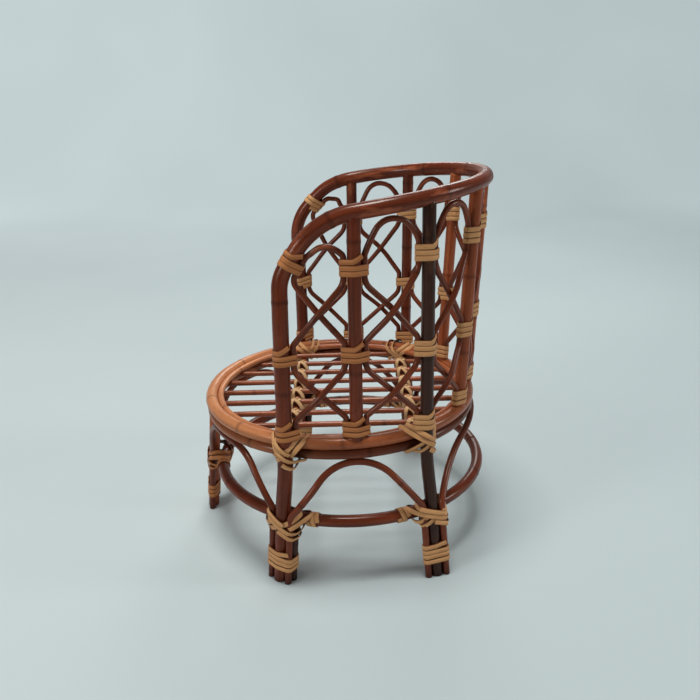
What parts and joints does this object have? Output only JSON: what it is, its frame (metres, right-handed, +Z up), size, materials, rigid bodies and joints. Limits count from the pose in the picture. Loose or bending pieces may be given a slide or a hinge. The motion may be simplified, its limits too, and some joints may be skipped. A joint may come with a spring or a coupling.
{
  "type": "rattan tub chair",
  "caption": "Small round-seated tub chair of bent stained rattan poles bound with flat cane, with one arm and back rail, a looped lattice back, a slatted seat and arched legs.",
  "frame": {"origin": "on the floor, below the middle of the round seat", "axes": "+Z up, front of the chair towards -Y, the sitter's left towards +X"},
  "size_m": [0.2704, 0.2726, 0.3262],
  "materials": {
    "frame_rattan": "stained and varnished, satin",
    "seat_rattan": "stained and varnished, satin",
    "cane": "smooth split cane, satin"
  },
  "bodies": {
    "root": {"arm_rail_hoop": "frame_rattan", "back_post_centre": "frame_rattan", "back_post_rear_left": "frame_rattan", "back_post_rear_right": "frame_rattan", "back_post_side_left": "frame_rattan", "back_post_side_right": "frame_rattan", "back_strand_1": "frame_rattan", "back_strand_2": "frame_rattan", "back_strand_3": "frame_rattan", "back_strand_4": "frame_rattan", "back_strand_5": "frame_rattan", "back_strand_6": "frame_rattan", "back_strand_7": "frame_rattan", "back_strand_8": "frame_rattan", "foot_stub_arm_left": "frame_rattan", "foot_stub_arm_right": "frame_rattan", "foot_stub_rear_left": "frame_rattan", "foot_stub_rear_right": "frame_rattan", "front_leg": "frame_rattan", "leg_arch_front_left": "frame_rattan", "leg_arch_front_right": "frame_rattan", "leg_arch_rear": "frame_rattan", "leg_arch_side_left": "frame_rattan", "leg_arch_side_right": "frame_rattan", "leg_tie_arm_left": "cane", "leg_tie_arm_right": "cane", "leg_tie_front": "cane", "leg_tie_rear_left": "cane", "leg_tie_rear_right": "cane", "post_tie_arm_left": "cane", "post_tie_arm_right": "cane", "post_tie_centre": "cane", "post_tie_rear_left": "cane", "post_tie_rear_leg_left": "cane", "post_tie_rear_leg_right": "cane", "post_tie_rear_right": "cane", "post_tie_side_left": "cane", "post_tie_side_right": "cane", "rear_leg_post_left": "frame_rattan", "rear_leg_post_right": "frame_rattan", "seat_bar_front": "seat_rattan", "seat_bar_rear": "seat_rattan", "seat_lashing_front": "cane", "seat_lashing_rear": "cane", "seat_rim_inner": "seat_rattan", "seat_rim_lower": "seat_rattan", "seat_rim_upper": "seat_rattan", "seat_slat_1": "seat_rattan", "seat_slat_2": "seat_rattan", "seat_slat_3": "seat_rattan", "seat_slat_4": "seat_rattan", "seat_slat_5": "seat_rattan", "seat_slat_6": "seat_rattan", "seat_slat_7": "seat_rattan", "seat_slat_8": "seat_rattan", "seat_slat_9": "seat_rattan", "stretcher_ring": "frame_rattan"}
  },
  "joints": []
}
